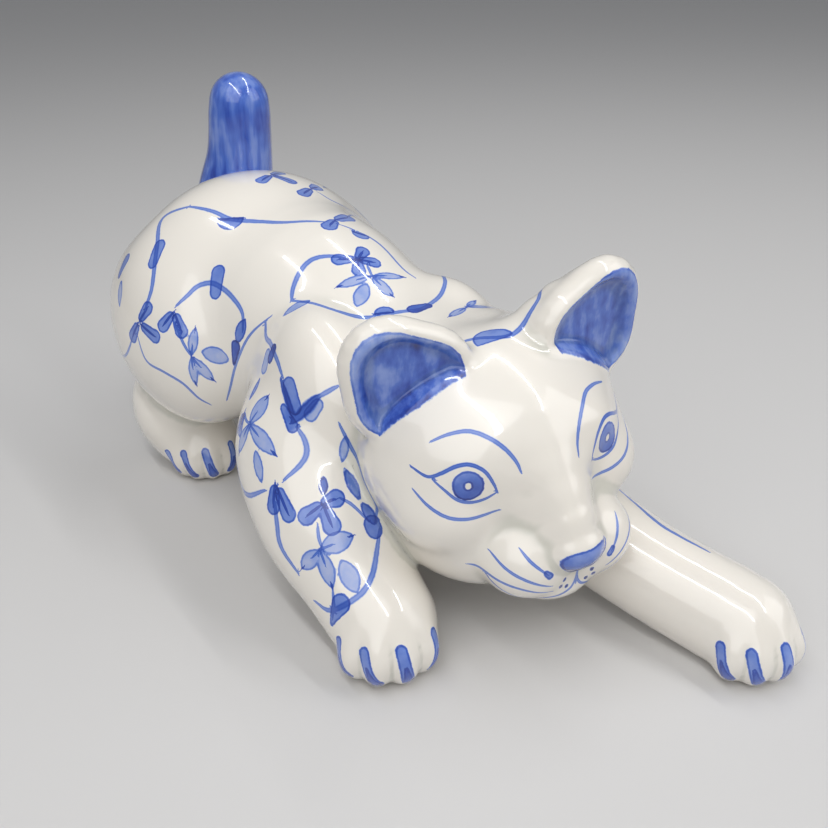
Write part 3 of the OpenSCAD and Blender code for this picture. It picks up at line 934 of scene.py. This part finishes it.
def face(brush):
    """Brows, lids, irises, mouth, whiskers and their dots."""
    def line(mid, side, spots, half, tone=MIDDLING, ends=0.35):
        x, z = np.array(spots, float).T
        brush.line(on_face(mid + side * x, z), half, tone, ends)

    def drop(x1, z1, x2, z2, r1, r2, tone=MIDDLING, layer="petal"):
        a, b = on_face(np.array([x1, x2]), np.array([z1, z2]))
        brush.drop(a, b, r1, r2, tone, layer)

    for side in (-1, 1):
        for spots, half, *rest in EYE_LINES:
            line(EYES_MID, side, spots, half, *rest)
        x = EYES_MID + side * IRIS_X
        a, b = on_face(np.array([x, x]), np.array([IRIS_Z + 0.3, IRIS_Z - 0.3]))
        # the ring's white middle is the pale pupil and a painted highlight
        brush.wash("ring", a, b, IRIS_R, PUPIL_AND_HIGHLIGHT_R, DARK, "petal")
        for spots in WHISKERS:
            line(NOSE_MID, side, spots, 0.5, MIDDLING, 0.2)
        line(NOSE_MID, side, MOUTH, 0.5, MIDDLING, 0.4)
        x = NOSE_MID + side * WHISKER_BUD[0]
        drop(x + side, WHISKER_BUD[1] + 1.2, x, WHISKER_BUD[1], 0.9, 1.1, MIDDLING)
        for dx, dz in WHISKER_DOTS:
            drop(NOSE_MID + side * dx, dz, NOSE_MID + side * dx, dz - 0.6, 0.55, 0.55, DEEP)


EAR_TONE, FOREHEAD_EDGE, FOREHEAD_SHADE_TONE = 0.72, 1.3, 0.4      # ear cobalt, laid darker by the forehead as painted shade of the step
NOSE_TONE, NOSE_POOL, IRIS_POOL = 0.7, 0.25, 0.16            # and cobalt pools low on the nose and the irises
FACE_Y, NOSE_Y, EAR_DEEPEST = -20, -34, -9                   # skin behind these stays white
IN_EAR = 20                                                  # marks a petal's place as inside an ear


def blue_ears(columns, v):
    """The insides of the ears, from rim to forehead; darker by the forehead, where painted shade stands for
    the step down into the hollow.
    """
    q, petal = to_head(v), columns["petal"]
    for side in (-1, 1):
        s = one_side(q, side)
        gap, height, along = leaf_outline(s, EAR_BLUE_MID, EAR_ACROSS, EAR_FACING, EAR_BLUE_R)
        off_forehead = skull(q) - FOREHEAD_EDGE
        gap = np.maximum(gap, -off_forehead)
        inside = (height > EAR_DEEPEST) & (s[:, 0] > 0)
        near = np.nonzero((gap < REACH) & inside & (gap < petal[:, 0]))[0]
        # painted shade: the cobalt is laid darker near the forehead edge, on the step into the hollow
        tone = EAR_TONE + FOREHEAD_SHADE_TONE * np.clip(1 - off_forehead[near] / 4, 0, 1)
        petal[near] = np.stack([gap[near], IN_EAR + along[near] / 12, tone], 1)


def blue_nose(columns, v):
    """A wide rounded triangle, darker towards its lower corner."""
    q, petal = to_head(v), columns["petal"]
    s = (q - NOSE_PAD) * NOSE_SQUEEZE
    gap, _, along = leaf_outline(s, (0, 0, 0), (-1, 0, 0), (0, -1, 0), NOSE_R)
    near = np.nonzero((gap < REACH) & (q[:, 1] < NOSE_Y) & (gap < petal[:, 0]))[0]
    tone = NOSE_TONE + NOSE_POOL * np.clip((NOSE_PAD[2] + 1 - q[near, 2]) / 5, -0.4, 1)
    petal[near] = np.stack([gap[near], along[near] / 6, tone], 1)


def shaded_irises(columns, v):
    """Each iris is darker towards its lower edge."""
    q = to_head(v)
    for side in (-1, 1):
        gap = np.hypot(q[:, 0] - EYES_MID - side * IRIS_X, q[:, 2] - IRIS_Z)
        near = np.nonzero((gap < IRIS_R + 1) & (q[:, 1] < FACE_Y))[0]
        low = np.clip((IRIS_Z - q[near, 2]) / IRIS_R, -1, 1)
        columns["petal"][near, 2] += IRIS_POOL * low


def all_touches():
    """The whole decoration, ready to be laid."""
    brush = Brush()

    def right(x, y, z):
        return np.array([x, y, z], float)

    def left_rump(x, y, z):
        return np.array([-20 - x, y - 3, z - 2], float)

    def left_shoulder(x, y, z):
        return np.array([-3 - x, y + 2, z], float)

    rump_vines(brush, right)
    rump_vines(brush, left_rump)
    shoulder_vines(brush, right)
    shoulder_vines(brush, left_shoulder)
    foreleg_vines(brush, right)
    neck_vines(brush, right)
    neck_vines(brush, left_shoulder)
    back_vines(brush)
    rear_vines(brush)
    brush.line([(44, -58, 37), (46, -66, 36), (46, -78, 33), (48, -85, 31), (51, -94, 29)], FORELEG_LINE)
    painted_claws(brush)
    face(brush)
    brush.settle()
    return brush


def painted(brush, v, n, step):
    """Line, wash and petal columns for every point of a skin."""
    columns = brush.lay(v, n, step)
    blue_ears(columns, v)
    blue_nose(columns, v)
    shaded_irises(columns, v)
    return np.hstack([columns["line"], columns["wash"], columns["petal"]])


# ---------------------------------------------------------------- materials
GLAZE_WHITE = (0.83, 0.79, 0.72, 1)
POOLED_GLAZE = (0.62, 0.66, 0.62, 1)
COBALT = [(0.0, GLAZE_WHITE), (0.3, (0.25, 0.35, 0.70, 1)), (0.58, (0.065, 0.15, 0.56, 1)),
          (0.82, (0.02, 0.065, 0.40, 1)), (1.0, (0.01, 0.026, 0.21, 1))]
BISCUIT = (0.70, 0.62, 0.50, 1)
WARM_GLAZE = (0.80, 0.71, 0.62, 1)
GLOSS = 0.22               # roughness of the colour under the coat
GLAZE = {"Coat Weight": 1.0, "Coat Roughness": 0.03, "Coat IOR": 1.5, "Specular IOR Level": 0.35,
         "Subsurface Weight": 0.04, "Subsurface Radius": (1.0, 0.9, 0.8), "Subsurface Scale": 0.0015}


class Shading:
    """Small helpers for building one material's node tree."""

    def __init__(self, name):
        self.material = bpy.data.materials.new(name)
        self.material.use_nodes = True
        self.tree = self.material.node_tree
        self.shader = self.tree.nodes["Principled BSDF"]
        self.object_place = self.node("TexCoord").outputs["Object"]

    def node(self, kind):
        return self.tree.nodes.new("ShaderNode" + kind)

    def link(self, source, socket):
        if isinstance(source, (int, float, tuple)):
            socket.default_value = source
        else:
            self.tree.links.new(source, socket)

    def math(self, kind, a, b=0.0, c=0.0):
        made = self.node("Math")
        made.operation = kind
        for value, socket in zip((a, b, c), made.inputs):
            self.link(value, socket)
        return made.outputs[0]

    def times(self, first, *others):
        for other in others:
            first = self.math("MULTIPLY", first, other)
        return first

    def less(self, a, b):
        return self.math("SUBTRACT", a, b)

    def fade(self, value, start, end, low=0.0, high=1.0):
        """Goes smoothly from low to high as value goes from start to end."""
        made = self.node("MapRange")
        made.interpolation_type = "SMOOTHSTEP"
        self.link(value, made.inputs["Value"])
        for key, number in (("From Min", start), ("From Max", end), ("To Min", low), ("To Max", high)):
            made.inputs[key].default_value = number
        return made.outputs["Result"]

    def noise(self, scale, detail=2.0, stretch=(1.0, 1.0, 1.0)):
        """Noise of scale and detail on the piece's own place, each axis stretched."""
        mapping = self.node("Mapping")
        mapping.inputs["Scale"].default_value = stretch
        self.link(self.object_place, mapping.inputs["Vector"])
        made = self.node("TexNoise")
        made.inputs["Scale"].default_value = scale
        made.inputs["Detail"].default_value = detail
        self.link(mapping.outputs["Vector"], made.inputs["Vector"])
        return made.outputs["Fac"]

    def parts(self, vector):
        made = self.node("SeparateXYZ")
        self.link(vector, made.inputs[0])
        return made.outputs

    def attribute(self, key):
        made = self.node("Attribute")
        made.attribute_name = key
        return made.outputs

    def height(self):
        """Height over the floor, in metres."""
        return self.parts(self.object_place)["Z"]

    def ramp(self, value, stops):
        made = self.node("ValToRGB")
        self.link(value, made.inputs["Fac"])
        points = made.color_ramp.elements
        while len(points) < len(stops):
            points.new(0.5)
        for point, (place, colour) in zip(points, stops):
            point.position = place
            point.color = colour
        return made.outputs["Color"]

    def mix(self, amount, a, b, kind="MIX"):
        made = self.node("Mix")
        made.data_type = "RGBA"
        made.blend_type = kind
        for value, socket in ((amount, made.inputs[0]), (a, made.inputs[6]), (b, made.inputs[7])):
            self.link(value, socket)
        return made.outputs[2]

    def glaze(self, colour):
        """A clear gloss with a faint ripple over a colour."""
        ripple = self.node("Bump")
        ripple.inputs["Strength"].default_value = 0.10
        ripple.inputs["Distance"].default_value = 0.0006
        self.link(self.noise(70.0, 3.0), ripple.inputs["Height"])
        for key in ("Normal", "Coat Normal"):
            self.link(ripple.outputs["Normal"], self.shader.inputs[key])
        self.link(colour, self.shader.inputs["Base Color"])
        for key, value in GLAZE.items():
            self.shader.inputs[key].default_value = value


def line_cobalt(s, wobble):
    """Thickness of the cobalt in lines: soft uneven edges and a little more along them."""
    across, gap, tone = s.parts(s.attribute("line")["Vector"])
    across = s.math("ADD", s.math("ABSOLUTE", across), s.times(wobble, 0.35))
    body = s.times(s.fade(across, 0.6, 1.25, 1.0, 0.0), s.fade(gap, 0.9, 1.1, 1.0, 0.0))
    edge = s.fade(across, 0.2, 0.8, 0.72, 0.98)
    return s.times(body, edge, tone)


def wash_cobalt(s, key, wobble, grain):
    """Thickness of the cobalt in a wash: uneven inside, with a thin dark outline."""
    gap, along, tone = s.parts(s.attribute(key)["Vector"])
    gap = s.math("ADD", gap, s.times(wobble, 0.45))
    body = s.fade(gap, -0.12, 0.2, 1.0, 0.0)
    outline = s.times(s.fade(gap, -0.75, -0.3), body)
    inside = s.times(tone, s.math("MULTIPLY_ADD", grain, 0.5, 0.75))
    return s.times(s.math("MULTIPLY_ADD", outline, 0.26, inside), body)


def ear_mottling(s):
    """Dark streaks and lighter bands inside the ears, and 1 everywhere else."""
    gap, along, tone = s.parts(s.attribute("petal")["Vector"])
    is_ear = s.fade(along, 0.5 * IN_EAR, 0.55 * IN_EAR)
    streaks = s.noise(340.0, 5.0, (1.0, 0.7, 0.35))
    blotch = s.noise(90.0, 3.0)
    depth = s.math("MULTIPLY_ADD", streaks, 0.9, s.times(blotch, 0.7))
    rim = s.fade(gap, -3.6, -0.6, 1.0, 0.62)
    amount = s.times(s.fade(depth, 0.5, 1.1, 0.66, 1.5), rim)
    return s.math("ADD", s.times(is_ear, amount), s.less(1.0, is_ear))


def painted_porcelain():
    """White glaze over cobalt lines and washes; bare biscuit under the paws."""
    s = Shading("painted_porcelain")
    wobble = s.less(s.noise(900.0), 0.5)
    grain = s.math("ADD", s.less(s.noise(260.0, 4.0), 0.5), s.less(s.noise(110.0, 1.0), 0.5))
    lines = line_cobalt(s, wobble)
    wash = wash_cobalt(s, "wash", wobble, grain)
    petal = s.times(wash_cobalt(s, "petal", wobble, grain), ear_mottling(s))
    white_left = s.times(s.less(1.0, lines), s.less(1.0, wash), s.less(1.0, petal))
    cobalt = s.ramp(s.less(1.0, white_left), COBALT)
    pooled = s.fade(s.attribute("hollow")["Fac"], 0.004, 0.05, 0.0, 0.55)
    warmth = s.fade(s.noise(14.0), 0.3, 0.7, 0.0, 0.10)
    colour = s.mix(warmth, cobalt, WARM_GLAZE, "MULTIPLY")
    colour = s.mix(pooled, colour, POOLED_GLAZE, "MULTIPLY")
    bare = s.fade(s.height(), 0.0003, 0.0008, 1.0, 0.0)
    s.glaze(s.mix(bare, colour, BISCUIT))
    s.link(s.math("MULTIPLY_ADD", bare, 0.6, GLOSS), s.shader.inputs["Roughness"])
    return s.material


def cobalt_tail():
    """Solid cobalt, brushed on lengthways, thinner at the root."""
    s = Shading("cobalt_tail")
    streaks = s.noise(300.0, 4.0, (1.0, 1.0, 0.12))
    blotch = s.noise(70.0)
    depth = s.math("MULTIPLY_ADD", streaks, 0.6, s.times(blotch, 0.5))
    thin = s.fade(s.height(), 0.092, 0.108, -0.22, 0.0)
    cobalt = s.math("ADD", s.fade(depth, 0.38, 0.78, 0.42, 0.92), thin)
    s.glaze(s.ramp(cobalt, COBALT))
    s.link(GLOSS, s.shader.inputs["Roughness"])
    return s.material


# ---------------------------------------------------------------- building the cat
HEAD_STEP, BODY_STEP = 0.65, 1.0          # mesh sizes, mm
HEAD_BOX = (-44, -104, 8), (64, -12, 120)
BODY_BOX = (-72, -134, -3), (76, 142, 150)
SPONGE_PASSES = 14
EARS_AND_HEAD = ("right_ear", "left_ear", "head_shell")
LIMBS_AND_BODY = ("tail", "right_foreleg", "left_foreleg", "right_hind_leg", "left_hind_leg",
                  "right_ear", "left_ear", "head_shell", "body_shell")


def skin_data(brush, low, high, step):
    """Skin inside a box with its paint: one row for each vertex, and the triangles."""
    v, n, tris, hollow = skin_mesh(low, high, step, SPONGE_PASSES)
    return np.hstack([v, n, painted(brush, v, n, step), hollow]), tris


def build_casts():
    """Skins the cat twice, finely round the head, and casts every piece from its patch."""
    patches = {}
    brush = all_touches()
    coarse = 1.0
    step = HEAD_STEP * coarse
    data, tris = skin_data(brush, *HEAD_BOX, step)
    found = pieces_of(data, tris, ("right_foreleg", "left_foreleg") + EARS_AND_HEAD, step)
    patches.update({name: found[name] for name in EARS_AND_HEAD})
    step = BODY_STEP * coarse
    data, tris = skin_data(brush, *BODY_BOX, step)
    found = pieces_of(data, tris, LIMBS_AND_BODY, step)
    patches.update({name: found[name] for name in LIMBS_AND_BODY if name not in EARS_AND_HEAD})
    finish = {"painted_porcelain": painted_porcelain(), "cobalt_tail": cobalt_tail()}
    for name, (data, tris) in patches.items():
        piece = cast(name, data, tris)
        slot = "cobalt_tail" if name == "tail" else "painted_porcelain"
        piece.data.materials.append(finish[slot])
        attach(piece, "root")
        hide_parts(name)


# ---------------------------------------------------------------- studio
def floor():
    """A plain pale floor."""
    mesh = bpy.data.meshes.new("floor")
    size = 4.0
    corners = [(-size, -size, 0), (size, -size, 0), (size, size, 0), (-size, size, 0)]
    mesh.from_pydata(corners, [], [(0, 1, 2, 3)])
    made = bpy.data.objects.new("floor", mesh)
    bpy.context.scene.collection.objects.link(made)
    material = bpy.data.materials.new("pale_floor")
    material.use_nodes = True
    shader = material.node_tree.nodes["Principled BSDF"]
    shader.inputs["Base Color"].default_value = (0.62, 0.61, 0.60, 1)
    shader.inputs["Roughness"].default_value = 0.55
    mesh.materials.append(material)


def set_up(name, kit, place, way):
    """Puts a light or a camera at a place, looking a way."""
    made = bpy.data.objects.new(name, kit)
    made.location = place
    made.rotation_euler = Vector(way).to_track_quat("-Z", "Y").to_euler()
    bpy.context.scene.collection.objects.link(made)
    return made


def softbox(name, place, target, size, power):
    """A flat light of a size in metres and a power in watts."""
    light = bpy.data.lights.new(name, "AREA")
    light.shape = "RECTANGLE"
    light.size, light.size_y = size
    light.energy = power
    set_up(name, light, place, Vector(target) - Vector(place))


def studio():
    """Two large dim softboxes, two thin tubes overhead and a soft sky."""
    world = bpy.data.worlds.new("studio")
    world.use_nodes = True
    sky = world.node_tree.nodes["Background"]
    sky.inputs["Color"].default_value = (0.86, 0.88, 0.92, 1)
    sky.inputs["Strength"].default_value = 0.3
    bpy.context.scene.world = world
    middle = (0, 0, 0.05)
    softbox("key_softbox", (-0.7, -0.5, 0.9), middle, (1.2, 1.2), 6.2)
    softbox("fill_softbox", (0.9, -0.8, 0.8), middle, (1.0, 1.0), 4.0)
    for x in (-0.25, 0.31):
        softbox("tube_light", (x, -0.17, 0.8), (x, -0.1, 0.05), (0.03, 1.1), 2.3)


CAMERA_PLACE = np.array([-150, -226, 205])      # mm
CAMERA_AZIMUTH, CAMERA_ELEVATION = math.radians(-34.6), math.radians(30)
CAMERA_LENS, CAMERA_SENSOR = 39.1, 36.0


def camera():
    """Three-quarter view from above, on the cat's right."""
    lens = bpy.data.cameras.new("camera")
    lens.lens, lens.sensor_width = CAMERA_LENS, CAMERA_SENSOR
    lens.clip_start = 0.01
    level = math.cos(CAMERA_ELEVATION)
    way = (-math.sin(CAMERA_AZIMUTH) * level, math.cos(CAMERA_AZIMUTH) * level, -math.sin(CAMERA_ELEVATION))
    bpy.context.scene.camera = set_up("camera", lens, CAMERA_PLACE * MM, way)
    bpy.context.scene.view_settings.view_transform = "Standard"


build_casts()
floor()
studio()
camera()
